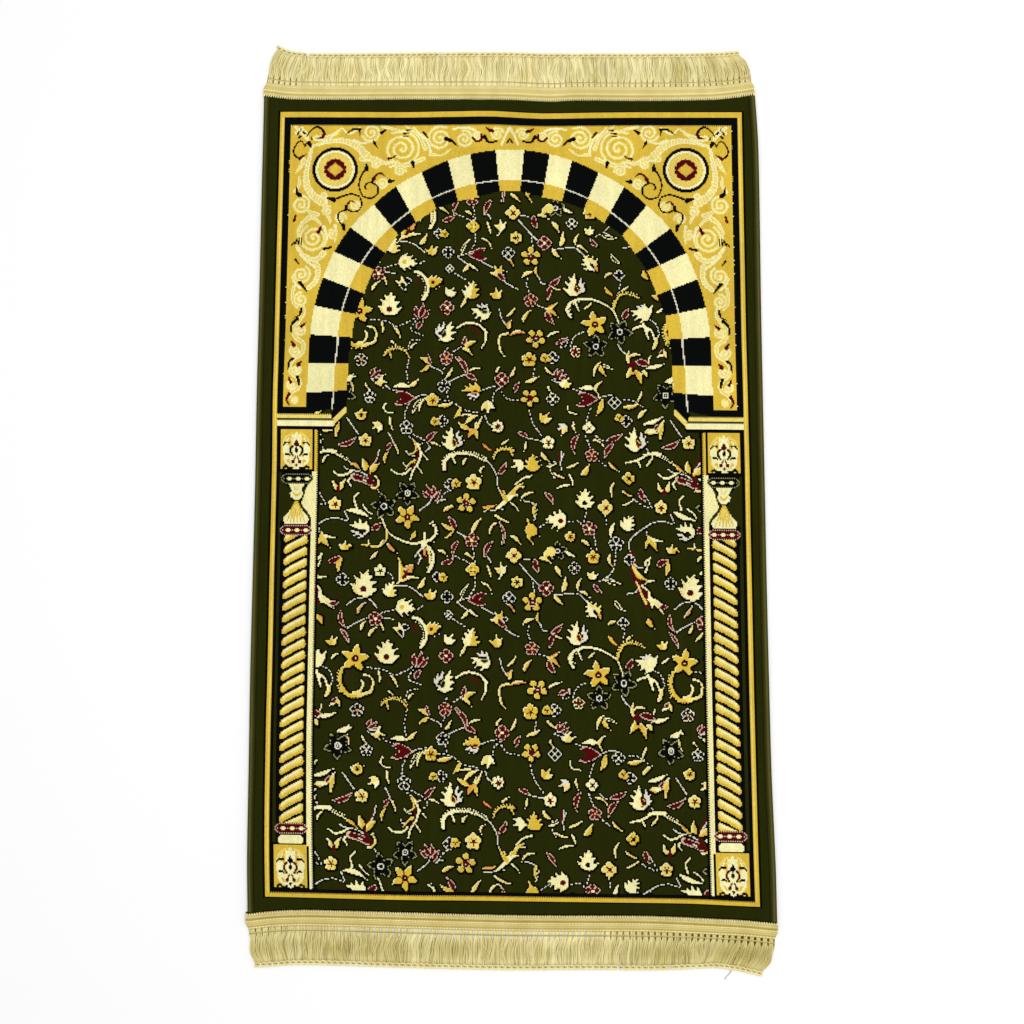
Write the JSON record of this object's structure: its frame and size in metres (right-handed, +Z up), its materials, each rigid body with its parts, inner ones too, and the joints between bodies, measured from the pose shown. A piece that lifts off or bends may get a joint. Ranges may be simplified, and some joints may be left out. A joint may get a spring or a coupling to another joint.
{
  "type": "prayer rug",
  "caption": "Flat woven prayer rug with an arch pattern in its pile, overlocked side bindings and a fringed tape sewn over each end.",
  "frame": {"origin": "middle of the rug's outline, on the surface that it lies on", "axes": "+X to the right seen from above, +Y along the rug towards the head of its arch, +Z up"},
  "size_m": [0.663, 1.2044, 0.006],
  "materials": {
    "pile": "dense cut pile",
    "binding": "overlocked thread",
    "fringe": "soft yarn"
  },
  "bodies": {
    "root": {"rug_pile": "pile", "binding_left": "binding", "binding_right": "binding", "fringe_top": "fringe", "fringe_bottom": "fringe", "chain_top": "fringe", "chain_bottom": "fringe"}
  },
  "joints": []
}
